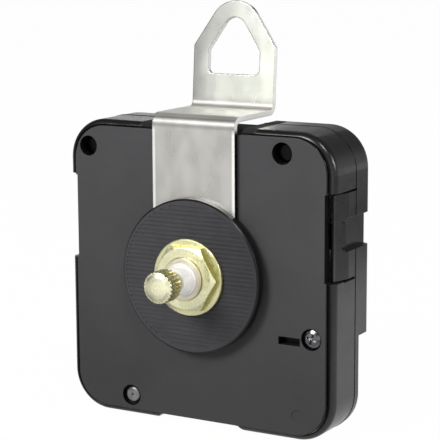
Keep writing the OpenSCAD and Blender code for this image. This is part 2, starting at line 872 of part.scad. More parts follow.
module cap_nut() {
  back = minute_seat_y;
  front = back - cap_len;
  color([0.84, 0.72, 0.4])
    translate([0, face_y, 0])
      difference() {
        union() {
          intersection() {
            slab(front + 0.35, back)
              polygon(ridge_points(cap_ridges, cap_r, cap_ridge_d));
            turned([0, 0], [
              [0, front],
              [cap_r - 0.35, front],
              [cap_r + 0.02, front + 0.65],
              [cap_r + 0.02, back - 0.35],
              [cap_r - 0.3, back],
              [0, back]
            ]);
          }
          // smooth, slightly domed end
          turned([0, 0], [
            [0, front],
            [1.2, front + 0.03],
            [2, front + 0.12],
            [cap_r - 0.45, front + 0.3],
            [cap_r - 0.35, front + 0.45],
            [cap_r - 0.35, front + 1],
            [0, front + 1]
          ]);
        }
        bar([0, 0], minute_thread_r + 0.03, minute_front_y - 0.3, back + 1);
      }
}

module minute_arbor() {
  color([0.82, 0.7, 0.4])
    translate([0, face_y, 0])
      difference() {
        union() {
          bar([0, 0], minute_thread_r, minute_front_y, minute_seat_y + eps);
          intersection() {
            bar([0, 0], minute_r, minute_seat_y, hour_front_y);
            block([-minute_flat, minute_seat_y - 1, -3], [minute_flat, hour_front_y + 1, 3]);
          }
          bar([0, 0], minute_r, hour_front_y - 0.1, dep(3.3) + eps);
          // cannon pinion
          pinion_teeth([0, 0], cannon_turn, cannon_n, m_minute, dep(3.3), dep(4.5));
          // shoulder, seat of the centre wheel and rear journal
          bar([0, 0], 2.1, dep(4.5) - eps, dep(4.95));
          bar([0, 0], 1.5, dep(4.95) - eps, dep(6.3));
          bar([0, 0], 1.05, dep(6.3) - eps, dep(plate_back));
        }
        bar([0, 0], second_r + run_gap, minute_front_y - 1, dep(plate_back) + 1);
      }
}

module clutch_spring() {
  color([0.78, 0.78, 0.76])
    translate([0, face_y, 0])
      fitted_depth()
        difference() {
          union() {
            bar([0, 0], 2.2, 5.85, 6.15);
            for (k = [0:2])
              rotate([0, 120 * k, 0])
                block([0, 5.85, -0.5], [4, 6.05, 0.5]);
          }
          bar([0, 0], 1.5, 5, 7);
        }
}

module centre_wheel() {
  color([0.88, 0.87, 0.8])
    translate([0, face_y, 0])
      fitted_depth()
        difference() {
          wheel_teeth([0, 0], centre_turn, centre_n, m_centre, 5, 5.8);
          bar([0, 0], 1.5 + run_gap, 4, 7);
          wheel_windows([0, 0], 5.8, 1.4, 5, 5.8);
        }
}

module hour_wheel() {
  color([0.94, 0.91, 0.9])
    translate([0, face_y, 0])
      difference() {
        union() {
          wheel_teeth([0, 0], hour_turn, hour_n, m_hour, dep(2), dep(3));
          bar([0, 0], hour_r, hour_seat_y, dep(2) + eps);
          turned([0, 0], [
            [0, hour_front_y],
            [hour_seat_r - 0.15, hour_front_y],
            [hour_seat_r, hour_front_y + 0.15],
            [hour_seat_r, hour_seat_y + eps],
            [0, hour_seat_y + eps]
          ]);
        }
        bar([0, 0], minute_r + run_gap, hour_front_y - 1, 4);
      }
}

module minute_wheel() {
  color([0.9, 0.88, 0.8])
    translate([0, face_y, 0])
      fitted_depth()
        difference() {
          union() {
            pinion_teeth(minute_wheel_at, minute_turn, minute_pinion_n, m_hour, 1.9, 3.3 + eps);
            wheel_teeth(minute_wheel_at, minute_turn, minute_n, m_minute, 3.3, 4.1);
          }
          bar(minute_wheel_at, 0.8 + run_gap, 1, 5);
          wheel_windows(minute_wheel_at, 4, 1.1, 3.3, 4.1);
        }
}

module second_arbor() {
  color([0.76, 0.76, 0.78])
    translate([0, face_y, 0])
      union() {
        bar([0, 0], second_r, second_front_y, dep(11));
        bar([0, 0], 0.6, dep(7.9), dep(shoulder_y));
        bar([0, 0], pivot_r, dep(shoulder_y) - eps, dep(13.5));
      }
}

module second_wheel() {
  color([0.9, 0.88, 0.82])
    translate([0, face_y, 0])
      fitted_depth()
        difference() {
          union() {
            pinion_teeth([0, 0], second_turn, second_pinion_n, m_third, 8.3, 9.8 + eps);
            wheel_teeth([0, 0], second_turn, second_n, m_second, 9.8, 10.5);
            bar([0, 0], 1.4, 10.5 - eps, 11.4);
          }
          bar([0, 0], 0.6, 7, 12);
          wheel_windows([0, 0], 4.6, 1.3, 9.8, 10.5);
        }
}

module third_wheel() {
  color([0.88, 0.86, 0.78])
    translate([0, face_y, 0])
      fitted_depth()
        difference() {
          union() {
            bar(third_at, pivot_r, 1.3, 2.5 + eps);
            bar(third_at, 0.62, 2.5, shoulder_y);
            pinion_teeth(third_at, third_turn, third_pinion_n, m_centre, 4.8, 6.1);
            wheel_teeth(third_at, third_turn, third_n, m_third, 8.5, 9.2);
            bar(third_at, 1.3, 8, 9.8);
            bar(third_at, pivot_r, shoulder_y - eps, 13.5);
          }
          wheel_windows(third_at, 4.8, 1.3, 8.5, 9.2);
        }
}

module fifth_wheel() {
  color([0.9, 0.88, 0.82])
    translate([0, face_y, 0])
      fitted_depth()
        union() {
          bar(fifth_at, pivot_r, 6.8, 7.6 + eps);
          bar(fifth_at, 0.6, 7.6, shoulder_y);
          pinion_teeth(fifth_at, fifth_turn, fifth_pinion_n, m_second, 9.6, 11.2 + eps);
          wheel_teeth(fifth_at, fifth_turn, fifth_n, m_fifth, 11.2, 11.9);
          bar(fifth_at, pivot_r, shoulder_y - eps, 13.5);
        }
}

module rotor_pinion() {
  color([0.92, 0.9, 0.86])
    translate([0, face_y, 0])
      fitted_depth()
        union() {
          bar(rotor_at, pivot_r, 6.8, 7.6 + eps);
          bar(rotor_at, 0.6, 7.6, shoulder_y);
          bar(rotor_at, 1, 10.2, 11);
          pinion_teeth(rotor_at, rotor_turn, rotor_n, m_fifth, 10.95, 12.1);
          bar(rotor_at, pivot_r, shoulder_y - eps, 13.5);
        }
}

module rotor_magnet() {
  color([0.3, 0.3, 0.33])
    translate([0, face_y, 0])
      fitted_depth()
        difference() {
          bar(rotor_at, magnet_r, 8, 10.2);
          bar(rotor_at, 0.6, 7, 11);
        }
}

module stator() {
  color([0.7, 0.71, 0.73])
    translate([0, face_y, 0])
      fitted_depth()
        difference() {
          slab(8.6, 9.6)
            difference() {
              union() {
                translate(rotor_at)
                  circle(4.6);
                polygon([
                  [-2, 12.2], [11.3, 7.4], [13.6, 11.4],
                  [2, 14.8], [2, coil_z + 1.6], [-2, coil_z + 1.6]
                ]);
                polygon([
                  [17.2, 11], [19.2, 4.9], [half_w - 3.5, 9.5],
                  [half_w - 3.5, coil_z + 1.6], [half_w - 7.2, coil_z + 1.6], [half_w - 7.2, 13.6]
                ]);
              }
              translate(rotor_at)
                circle(magnet_r + 0.35);
              for (a = [75, 255])
                translate(rotor_at + 4.7 * [cos(a), sin(a)])
                  circle(0.9);
            }
          for (p = stator_posts)
            bar(p, 0.85, 8, 10);
        }
}

module coil_core() {
  color([0.66, 0.67, 0.69])
    translate([0, face_y, 0])
      fitted_depth()
        difference() {
          slab(9.6, 10.8)
            union() {
              translate([-2, coil_z - 1.2])
                square([half_w - 1.5, 2.4]);
              translate([-2, coil_z - 2])
                square([4, 3.6]);
              translate([half_w - 7.2, coil_z - 2])
                square([3.7, 3.6]);
            }
          for (p = stator_posts)
            bar(p, 0.85, 9, 11);
        }
}

// bar along the case width, round
module cross_bar(x0, x1, r) {
  translate([x0, coil_y, coil_z])
    rotate([0, 90, 0])
      cylinder(h = x1 - x0, r = r);
}

module core_hole(x0, x1, grow) {
  block(
    [x0, 9.6 - grow, coil_z - 1.2 - grow],
    [x1, 10.8 + grow, coil_z + 1.2 + grow]
  );
}

module coil_bobbin() {
  color([0.9, 0.88, 0.8])
    translate([0, face_y, 0])
      fitted_depth()
        difference() {
          union() {
            cross_bar(2.6, 3.2, coil_r + 0.2);
            cross_bar(coil_end - 0.6, coil_end, coil_r + 0.2);
            core_hole(2.6, coil_end, 0.35);
          }
          core_hole(2, coil_end + 0.8, 0);
        }
}

module coil_winding() {
  color([0.72, 0.36, 0.16])
    translate([0, face_y, 0])
      fitted_depth()
        difference() {
          cross_bar(3.2, coil_end - 0.6, coil_r);
          core_hole(3, coil_end, 0.35);
        }
}

module circuit_board() {
  color([0.1, 0.32, 0.16])
    translate([0, face_y, 0])
      fitted_depth()
        difference() {
          block([6.5 - half_w, 8.2, case_top - 11.1], [-4.5, 8.2 + board_t, case_top - 3.1]);
          for (p = board_posts)
            bar(p, 0.5, 8, 10);
        }
}

module quartz_crystal() {
  crystal_z = case_top - 4.4;
  color([0.78, 0.78, 0.8])
    translate([0, face_y, 0])
      fitted_depth()
        union() {
          translate([7.4 - half_w, 9.2 + board_t, crystal_z])
            rotate([0, 90, 0])
              cylinder(h = 6, r = 1);
          for (s = [-0.35, 0.35])
            translate([13.2 - half_w, 9.2 + board_t, crystal_z + s])
              rotate([0, 90, 0])
                cylinder(h = 1.8, r = 0.15);
        }
}

module chip_blob() {
  color([0.08, 0.08, 0.09])
    translate([0, face_y, 0])
      fitted_depth()
        turned([-10.5, case_top - 6.9], [
          [0, 8.2 + board_t],
          [2.3, 8.2 + board_t],
          [2.2, 8.45 + board_t],
          [1.7, 8.8 + board_t],
          [0.9, 9.05 + board_t],
          [0, 9.1 + board_t]
        ]);
}

// flat contact plate on the end wall of the bay, with its tail into the gear chamber
module contact_plate(x0, x1) {
  block([x0, 3, bay_floor + corner_r - wall - 0.4], [x1, bay_depth - 0.5, bay_roof - 2.3]);
  block([x0, dep(8), bay_roof - 2.4], [x1, dep(10), chamber_floor + 0.05 + contact_t]);
}

module battery_contact_negative() {
  x = half_w - wall - 0.05;
  floor_z = chamber_floor + 0.05;
  leaf_x = -x + contact_t;
  color([0.75, 0.76, 0.78])
    translate([0, face_y, 0])
      union() {
        contact_plate(-x, leaf_x);
        // springy leaf that presses on the cell
        slab(4.6, 8.4)
          polygon([
            [leaf_x, cell_z - 2.2],
            [leaf_x + 1.4, cell_z - 0.2],
            [leaf_x + 1.4, cell_z + 0.8],
            [leaf_x, cell_z + 4.6],
            [leaf_x, cell_z + 3.8],
            [leaf_x + 1.1, cell_z + 0.6],
            [leaf_x + 1.1, cell_z],
            [leaf_x, cell_z - 1.4]
          ]);
        // strip to the circuit board
        block([-x, dep(8), floor_z], [1.85 - x, dep(10), floor_z + contact_t]);
        block([1.55 - x, dep(9), floor_z], [1.85 - x, dep(10), case_top - 8.9]);
        block(
          [1.55 - x, dep(8.2 + board_t), case_top - 10.5],
          [7.5 - half_w, dep(8.5 + board_t), case_top - 8.9]
        );
      }
}

module battery_contact_positive() {
  x = half_w - wall - 0.05;
  floor_z = chamber_floor + 0.05;
  pad_x = x - contact_t;
  color([0.75, 0.76, 0.78])
    translate([0, face_y, 0])
      union() {
        contact_plate(pad_x, x);
        block([pad_x - 0.5, 6, cell_z - 2.1], [pad_x + eps, bay_depth - 0.5, cell_z + 2.1]);
        // strip along the chamber floor and up to the circuit board
        block([x - 1, dep(9.6), floor_z], [x, dep(12.4), floor_z + contact_t]);
        block([1.55 - x, dep(11), floor_z], [x, dep(12.4), floor_z + contact_t]);
        block([1.55 - x, dep(11), floor_z], [1.85 - x, dep(12.4), case_top - 6.9]);
        block(
          [1.55 - x, dep(8.2 + board_t), case_top - 8.3],
          [1.85 - x, dep(12.4), case_top - 6.9]
        );
        block(
          [1.55 - x, dep(8.2 + board_t), case_top - 8.3],
          [7.5 - half_w, dep(8.5 + board_t), case_top - 6.9]
        );
      }
}

module middle_plate() {
  color([0.85, 0.84, 0.8])
    translate([0, face_y, 0])
      fitted_depth()
        difference() {
          union() {
            slab(plate_y, plate_back)
              polygon([
                [4 - half_w, chamber_floor + 0.7],
                [half_w - 7.1, chamber_floor + 0.7],
                [half_w - 7.1, -5.5],
                [half_w - 3.4, -5.5],
                [half_w - 3.4, case_top - 6.9],
                [4 - half_w, case_top - 6.9]
              ]);
            bar(fifth_at, 1.1, plate_back - eps, 7.5);
            bar(rotor_at, 1.1, plate_back - eps, 7.5);
            for (p = stator_posts) {
              bar(p, 1.5, plate_back - eps, 8.6);
              bar(p, 0.8, plate_back, 11.1);
            }
            for (p = board_posts) {
              bar(p, 1, plate_back - eps, 8.2);
              bar(p, 0.45, plate_back, 9.4);
            }
          }
          bar([0, 0], 1.05 + run_gap, 6, 8);
          bar(third_at, 1.9, 6, 8);
          bar(set_at, set_stem_r + 0.1, 6, 8);
          bar(fifth_at, pivot_r + run_gap, 6.7, 8);
          bar(rotor_at, pivot_r + run_gap, 6.7, 8);
        }
}

module set_knob() {
  color([0.88, 0.87, 0.84])
    translate([0, face_y, 0])
      fitted_depth()
        difference() {
          union() {
            bar(set_at, 0.6, 1.3, 2.5 + eps);
            bar(set_at, set_stem_r, 2.5, 13.1);
            bar(set_at, set_knob_r, 13, 14.7);
          }
          for (k = [0:23])
            bar(set_at + set_knob_r * [cos(15 * k), sin(15 * k)], 0.22, 12, 16);
          // finger slot
          translate([set_at[0], 0, set_at[1]])
            block([-2.6, 14, -0.6], [2.6, 16, 0.6]);
        }
}

module setting_pinion() {
  color([0.9, 0.88, 0.82])
    translate([0, face_y, 0])
      fitted_depth()
        difference() {
          union() {
            wheel_teeth(set_at, set_turn, set_n, m_minute, 3.3, 4.1, 0.8, 1.3, 0.6);
            bar(set_at, 1.9, 4.1 - eps, 5);
          }
          bar(set_at, set_stem_r, 2, 6);
        }
}

module case_screw() {
  color([0.75, 0.75, 0.76])
    translate([0, face_y, 0])
      difference() {
        union() {
          turned([hole_br_x, hole_br_z], [
            [0, 0.1],
            [1.2, 0.15],
            [1.7, 0.4],
            [1.85, 0.7],
            [1.85, 1.1],
            [0, 1.1]
          ]);
          bar([hole_br_x, hole_br_z], 1, 1, 7.2);
        }
        translate([hole_br_x, 0, hole_br_z])
          for (a = [20, 110])
            rotate([0, a, 0])
              block([-1, -1, -0.2], [1, 0.65, 0.2]);
      }
}

module corner_rivet() {
  color([0.72, 0.72, 0.72])
    translate([0, face_y, 0])
      difference() {
        union() {
          turned([hole_bl_x, hole_bl_z], [
            [0, 0.35],
            [1.2, 0.35],
            [1.45, 0.55],
            [1.45, 1.1],
            [0, 1.1]
          ]);
          bar([hole_bl_x, hole_bl_z], 0.75, 1, 3);
        }
        bar([hole_bl_x, hole_bl_z], 0.3, 0, 0.7);
      }
}

front_cover();
rear_housing();
threaded_bush();
hex_nut();
brass_washer();
rubber_washer();
hanger_strap();
cap_nut();
minute_arbor();
clutch_spring();
centre_wheel();
hour_wheel();
minute_wheel();
second_arbor();
second_wheel();
third_wheel();
fifth_wheel();
rotor_pinion();
rotor_magnet();
stator();
coil_core();
coil_bobbin();
coil_winding();
circuit_board();
quartz_crystal();
chip_blob();
battery_contact_negative();
battery_contact_positive();
middle_plate();
set_knob();
setting_pinion();
case_screw();
corner_rivet();
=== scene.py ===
import bpy
import math
from mathutils import Matrix, Vector


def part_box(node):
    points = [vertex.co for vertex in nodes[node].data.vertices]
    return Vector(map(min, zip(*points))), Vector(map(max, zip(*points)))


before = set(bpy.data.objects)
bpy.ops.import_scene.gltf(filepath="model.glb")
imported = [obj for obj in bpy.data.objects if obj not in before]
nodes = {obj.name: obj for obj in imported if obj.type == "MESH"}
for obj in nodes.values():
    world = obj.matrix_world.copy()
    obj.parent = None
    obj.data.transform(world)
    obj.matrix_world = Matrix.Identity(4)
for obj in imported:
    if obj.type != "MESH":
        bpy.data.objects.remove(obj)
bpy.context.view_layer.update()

MM = 0.001
X, Y, Z = 0, 1, 2


def box_mm(node):
    """The lowest and the highest corner of a CAD node, in mm."""
    return [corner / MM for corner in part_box(node)]


# the places that the materials go by, in mm
face_y = box_mm("front_cover")[0].y
case_bottom = box_mm("rear_housing")[0].z
case_top = box_mm("rear_housing")[1].z
strap_half = box_mm("hanger_strap")[1].x
rubber_edge = box_mm("rubber_washer")[1].x

# the camera of the photograph, fitted to the corners of the case and the rings on the shaft
IMAGE_PX = 440
FOCAL_PX = 1681.85
SENSOR = 36  # mm
YAW, PITCH, ROLL = 29.932, 10.142, -0.292  # degrees
CAMERA_AIM = (0.413, 13.0, 8.917)  # mm
CAMERA_DISTANCE = 314.34  # mm


def photo_camera():
    """A camera that looks at the object as the photograph does."""
    yaw, pitch, roll = (math.radians(v) for v in (YAW, PITCH, ROLL))
    ahead = Vector((-math.sin(yaw) * math.cos(pitch), math.cos(yaw) * math.cos(pitch), -math.sin(pitch)))
    level_right = Vector((math.cos(yaw), math.sin(yaw), 0))
    level_up = level_right.cross(ahead)
    right = math.cos(roll) * level_right + math.sin(roll) * level_up
    up = math.cos(roll) * level_up - math.sin(roll) * level_right
    eye = (Vector(CAMERA_AIM) - ahead * CAMERA_DISTANCE) * MM
    data = bpy.data.cameras.new("camera")
    data.sensor_width = SENSOR
    data.lens = SENSOR * FOCAL_PX / IMAGE_PX
    data.clip_start = 0.01
    data.clip_end = 20
    data.dof.use_dof = False
    camera = bpy.data.objects.new("camera", data)
    bpy.context.scene.collection.objects.link(camera)
    camera.matrix_world = Matrix((
        (right.x, up.x, -ahead.x, eye.x),
        (right.y, up.y, -ahead.y, eye.y),
        (right.z, up.z, -ahead.z, eye.z),
        (0, 0, 0, 1),
    ))
    return camera


bpy.context.scene.camera = photo_camera()


def grey(level):
    return (level, level, level)


def shade(tone, share):
    """A tone made darker or lighter by a share of about 1."""
    return tuple(min(1.0, part * share) for part in tone)


class Nodes:
    """Short calls that add nodes to a tree. A value is a number, a colour or a node's output."""

    def __init__(self, tree):
        self.tree = tree

    def new(self, kind):
        return self.tree.nodes.new("ShaderNode" + kind)

    def join(self, value, sock):
        """Links an output to an input, or writes a plain value into it."""
        if hasattr(value, "is_linked"):
            self.tree.links.new(value, sock)
        elif isinstance(value, tuple):
            sock.default_value = (*value, 1)
        else:
            sock.default_value = value

    def math(self, operation, *values):
        n = self.new("Math")
        n.operation = operation
        for value, sock in zip(values, n.inputs):
            self.join(value, sock)
        return n.outputs[0]

    def plus(self, total, *values):
        for value in values:
            total = self.math("ADD", total, value)
        return total

    def minus(self, first, second):
        return self.math("SUBTRACT", first, second)

    def times(self, total, *values):
        for value in values:
            total = self.math("MULTIPLY", total, value)
        return total

    def step(self, value, low, high, out_low=0.0, out_high=1.0):
        """Goes smoothly from out_low to out_high while the value goes from low to high."""
        n = self.new("MapRange")
        n.interpolation_type = "SMOOTHSTEP"
        n.inputs["From Min"].default_value = low
        n.inputs["From Max"].default_value = high
        n.inputs["To Min"].default_value = out_low
        n.inputs["To Max"].default_value = out_high
        self.join(value, n.inputs["Value"])
        return n.outputs["Result"]

    def parts(self, vector):
        """The x, y and z of a vector."""
        n = self.new("SeparateXYZ")
        self.join(vector, n.inputs[0])
        return n.outputs


class Mat(Nodes):
    """A material of one shader, with its pattern laid out in the object's own coordinates."""

    def __init__(self, name, **values):
        self.material = bpy.data.materials.new(name)
        self.material.use_nodes = True
        super().__init__(self.material.node_tree)
        self.shader = self.tree.nodes["Principled BSDF"]
        for key, value in values.items():
            self.shader.inputs[key.replace("_", " ")].default_value = value
        self.place = self.new("TexCoord").outputs["Object"]
        self.normal = None
        self.tone = None

    def noise(self, per_metre, detail=3, roughness=0.5, stretch=None):
        """Soft random patches, so many to a metre. stretch packs them closer along each axis."""
        place = self.place
        if stretch:
            mapping = self.new("Mapping")
            mapping.inputs["Scale"].default_value = stretch
            self.join(place, mapping.inputs["Vector"])
            place = mapping.outputs["Vector"]
        n = self.new("TexNoise")
        n.inputs["Scale"].default_value = per_metre
        n.inputs["Detail"].default_value = detail
        n.inputs["Roughness"].default_value = roughness
        self.join(place, n.inputs["Vector"])
        return n.outputs["Fac"]

    def axis(self, k):
        return self.parts(self.place)[k]

    def along(self, k, low, high, out_low=0.0, out_high=1.0):
        """A smooth step along one axis, between two places in mm."""
        return self.step(self.axis(k), low * MM, high * MM, out_low, out_high)

    def facing(self, k, sign, low=0.9, high=0.97):
        """1 where the surface faces along one axis, 0 elsewhere."""
        normal = self.new("NewGeometry").outputs["Normal"]
        return self.step(self.times(self.parts(normal)[k], sign), low, high)

    def facing_front(self):
        return self.facing(Y, -1.0)

    def under_strap(self, margin):
        """1 on top of the case where the strap, with a margin in mm, keeps the light off, else 0."""
        fade = 1.0
        shift = 1.0  # the lamp stands on the left
        left = -strap_half - margin
        right = strap_half + margin + shift
        from_left = self.along(X, left - fade, left)
        to_right = self.along(X, right - fade, right, 1.0, 0.0)
        return self.times(from_left, to_right, self.along(Z, case_top - 3.6, case_top - 2.6))

    def top_right(self):
        """Grows from 0 to 1 along the right part of the top, which is duller."""
        rightwards = self.along(X, strap_half + 0.35, strap_half + 10.35)
        return self.times(rightwards, self.facing(Z, 1.0, 0.85, 0.97))

    def ramp(self, value, *stops):
        """A colour or level for each value. A stop is a value and what it gives."""
        n = self.new("ValToRGB")
        elements = n.color_ramp.elements
        while len(elements) < len(stops):
            elements.new(0.5)
        for element, (position, tone) in zip(elements, stops):
            if not isinstance(tone, tuple):
                tone = grey(tone)
            element.position = position
            element.color = (*tone, 1)
        self.join(value, n.inputs["Fac"])
        return n.outputs["Color"]

    def patches(self, noise, first, second):
        """Goes from one colour or level to another in the patches of a noise."""
        return self.ramp(noise, (0.3, first), (0.7, second))

    def mix(self, share, first, second, mode="MIX"):
        n = self.new("Mix")
        n.data_type = "RGBA"
        n.blend_type = mode
        for sock, value in ((n.inputs[0], share), (n.inputs[6], first), (n.inputs[7], second)):
            self.join(value, sock)
        return n.outputs[2]

    def rounded(self, radius):
        """Makes the edges look rounded, by a radius in mm."""
        n = self.new("Bevel")
        n.samples = 6
        n.inputs["Radius"].default_value = radius * MM
        self.normal = n.outputs["Normal"]
        self.link("Normal", self.normal)

    def bump(self, height, depth, strength=1.0):
        """Raises the surface by a height of 0 to 1, which stands for a depth in mm."""
        n = self.new("Bump")
        n.inputs["Distance"].default_value = depth * MM
        self.join(strength, n.inputs["Strength"])
        self.join(height, n.inputs["Height"])
        if self.normal:
            self.join(self.normal, n.inputs["Normal"])
        self.normal = n.outputs["Normal"]
        self.link("Normal", self.normal)

    def link(self, name, output):
        self.join(output, self.shader.inputs[name])

    def color(self, output):
        self.tone = output
        self.link("Base Color", output)

    def rough(self, output):
        self.link("Roughness", output)


def face_plastic():
    """Cover: fine spark grain on the face, smooth plastic on its edges."""
    m = Mat("cover_black", Metallic=0.0, IOR=1.5, Specular_IOR_Level=0.3)
    m.rounded(0.22)
    front = m.facing_front()
    face = m.patches(m.noise(60, 4), (0.046, 0.046, 0.048), (0.056, 0.055, 0.058))
    # painted shade: it gets a little darker towards the table, where less light falls
    face = m.mix(m.along(Z, case_bottom + 0.9, case_top - 7.6, 0.42, 0.0), face, grey(0.02))
    # painted shade: what lies deeper than the face, as in the slot and the holes, is darkened
    face = m.mix(m.along(Y, face_y + 0.2, face_y + 0.4), face, grey(0.003))
    m.color(m.mix(front, (0.008, 0.008, 0.009), face))
    edges = m.mix(m.under_strap(1.55), grey(0.22), grey(1.0))
    edges = m.mix(m.top_right(), edges, grey(0.6))
    m.rough(m.mix(front, edges, m.patches(m.noise(400, 4), 0.55, 0.68)))
    grain = m.noise(5200, 3, 0.6)
    m.bump(grain, 0.014, m.times(front, 0.55))
    return m


def shell_plastic():
    """Housing: smooth black plastic with faint flow marks."""
    m = Mat("shell_black", Metallic=0.0, IOR=1.5)
    m.rounded(0.12)
    m.color(m.patches(m.noise(80, 4), (0.009, 0.009, 0.01), (0.014, 0.014, 0.015)))
    sheen = m.mix(m.top_right(), m.patches(m.noise(300, 4), 0.2, 0.3), grey(0.6))
    m.rough(m.mix(m.under_strap(2.85), sheen, grey(1.0)))
    # painted shade: its front-facing parts, seen through the holes of the cover, are made metal so that
    # they mirror next to nothing and read as the shade in the holes
    m.link("Metallic", m.facing_front())
    flow = m.noise(700, 3, 0.5, (1, 0.3, 1))
    m.bump(flow, 0.006, 0.25)
    return m


def metal(name, tone, roughness, per_metre=1200, stretch=None, bump=0.12, edge=0.08, metallic=1.0):
    """Metal with fine lines, faint blots and rounded edges."""
    m = Mat(name, Metallic=metallic)
    m.rounded(edge)
    lines = m.noise(per_metre, 1, 0.5, stretch)
    blots = m.patches(m.noise(140), shade(tone, 0.9), shade(tone, 1.05))
    m.color(m.mix(0.2, blots, m.ramp(lines, (0.35, 0.6), (0.65, 1.0)), "MULTIPLY"))
    m.rough(m.patches(lines, roughness - 0.06, roughness + 0.07))
    m.bump(lines, 0.008, bump)
    return m


def plated_strap():
    """Zinc plated strap with cloudy faces and painted light: lighter on the tab, a painted highlight on
    its edges and its sheared walls, painted shade on the walls by the case face, on the bend and on the
    tab's upper edges.
    """
    metallic, wall_metallic = 0.8, 0.2
    m = Mat("strap_steel", Metallic=metallic)
    m.rounded(0.3)
    # its parts from below: the leg on the case face, a bend, the flat over the case, and the tab
    past_leg = m.along(Z, case_top - 1.4, case_top - 0.1)
    on_leg = m.minus(1.0, past_leg)
    past_bend = m.along(Z, case_top + 1.2, case_top + 1.5)
    front_bend = m.times(m.along(Z, case_top - 0.8, case_top), m.minus(1.0, past_bend))
    flat = m.times(past_bend, m.along(Z, case_top + 2.7, case_top + 3.0, 1.0, 0.0))
    on_tab = m.along(Z, case_top + 2.4, case_top + 4.4)
    up_the_tab = m.along(Z, case_top + 6.4, case_top + 17.4, 0.0, 0.6)
    rightwards = m.along(X, -strap_half - 0.35, strap_half - 1.65)
    from_middle = m.math("ABSOLUTE", m.axis(X))
    painted_edge_glint = m.step(from_middle, (strap_half - 0.75) * MM, (strap_half - 0.35) * MM)
    clouds = m.noise(300, 1, 0.5, (1, 1, 0.6))
    leg = m.patches(clouds, (0.5, 0.49, 0.46), (0.6, 0.59, 0.555))
    # painted light: the tab is lighter than the leg, and lighter to the right of its dark left edge
    tab = m.ramp(
        rightwards,
        (0.0, (0.38, 0.38, 0.36)),
        (0.13, (0.7, 0.71, 0.66)),
        (0.55, (0.72, 0.73, 0.66)),
        (1.0, (0.82, 0.84, 0.75)),
    )
    # painted shade: the upper part of the tab is darker, most on its left
    shaded_tab_top = m.ramp(
        rightwards,
        (0.0, (0.28, 0.28, 0.27)),
        (0.54, (0.38, 0.38, 0.36)),
        (1.0, (0.64, 0.65, 0.61)),
    )
    face = m.mix(on_tab, leg, m.mix(up_the_tab, tab, shaded_tab_top))
    # painted highlight: a bright line along the leg's front edges
    face = m.mix(m.times(painted_edge_glint, on_leg), face, (1.0, 1.0, 0.96))
    # painted shade: the front bend is darkened, which keeps the lamp's highlight on it soft
    face = m.mix(m.times(front_bend, 0.45), face, grey(0.05))
    # painted light on the sheared walls: above the leg they are white and less metallic, a painted
    # highlight, and beside the case face they are near black, painted shade
    wall = m.facing(X, 1.0, 0.75, 0.85)
    painted_bright_wall = m.times(wall, past_leg)
    m.link("Metallic", m.minus(metallic, m.times(painted_bright_wall, metallic - wall_metallic)))
    face = m.mix(painted_bright_wall, face, (1.0, 1.0, 0.97))
    # painted shade: its rounded upper edges are darkened so that they stay grey below the lamp, apart
    # from those on the right
    lean = m.parts(m.normal)
    painted_ledge_shade = m.times(m.step(lean[Z], 0.2, 0.4), on_tab, m.step(lean[X], 0.2, 0.4, 1.0, 0.0))
    face = m.mix(painted_ledge_shade, face, grey(0.03))
    # painted shade on the leg's walls beside the case face
    m.color(m.mix(m.times(wall, on_leg), face, grey(0.01)))
    # the flat over the case is dull, the bend in front of it a little less so
    rough = m.mix(front_bend, m.patches(clouds, 0.24, 0.34), grey(0.42))
    m.rough(m.mix(flat, rough, grey(0.55)))
    m.bump(clouds, 0.01, 0.08)
    return m


def brass_shaded_sides(name, front_tone, shaded_side_tone, roughness, edge):
    """Brass that is pale on its front and darker on its sides, where the darker tone is painted shade.
    """
    m = metal(name, front_tone, roughness, bump=0.015, edge=edge, metallic=0.85)
    # painted shade on the sides
    m.color(m.mix(m.facing(Y, -1.0, 0.25, 0.6), shaded_side_tone, m.tone))
    return m


def threaded_brass():
    """Brass with the ridges of a thread as a bump."""
    m = metal("bush_brass", (0.92, 0.86, 0.66), 0.35)
    pitch = 0.75 * MM
    turn = m.math("FRACT", m.math("DIVIDE", m.axis(Y), pitch))
    ridge = m.math("ABSOLUTE", m.minus(turn, 0.5))
    m.bump(ridge, 0.2, 0.6)
    return m


def light_plastic(name, tone, roughness=0.38, translucent=0.12):
    """Pale plastic that lets a little light in."""
    m = Mat(name, Metallic=0.0, Subsurface_Weight=translucent, Subsurface_Scale=1.0)
    depth = 2.4
    m.shader.inputs["Subsurface Radius"].default_value = grey(depth * MM)
    m.rounded(0.1)
    m.color(m.patches(m.noise(200), shade(tone, 0.95), tone))
    m.rough(m.patches(m.noise(900), roughness - 0.05, roughness + 0.06))
    m.bump(m.noise(2500, 2), 0.006, 0.3)
    return m


def black_rubber():
    """Rubber with a mottled front that is darker on the right, painted shade, and near black edges,
    painted shade too.
    """
    m = Mat("rubber", Metallic=0.0, IOR=1.42)
    m.rounded(0.15)
    front = m.facing_front()
    front_tone_and_shade = m.patches(m.noise(220, 4), (0.038, 0.037, 0.042), (0.05, 0.048, 0.054))
    # painted shade: the front gets darker towards the right
    front_tone_and_shade = m.mix(m.along(X, -4, rubber_edge - 0.35, 0.0, 0.6), front_tone_and_shade, (0.016, 0.016, 0.018))
    # painted shade: the edges, away from the front, are near black
    m.color(m.mix(front, grey(0.004), front_tone_and_shade))
    m.rough(m.mix(front, grey(0.35), m.patches(m.noise(1500), 0.6, 0.74)))
    m.bump(m.noise(5200, 2), 0.01, 0.25)
    return m


def sintered():
    """Dark pressed powder, for the magnet and the resin over the chip."""
    m = Mat("ferrite", Metallic=0.0)
    m.rounded(0.1)
    m.color(m.patches(m.noise(500), (0.02, 0.02, 0.022), (0.035, 0.035, 0.04)))
    m.rough(m.patches(m.noise(900), 0.45, 0.6))
    m.bump(m.noise(3000, 2), 0.01, 0.5)
    return m


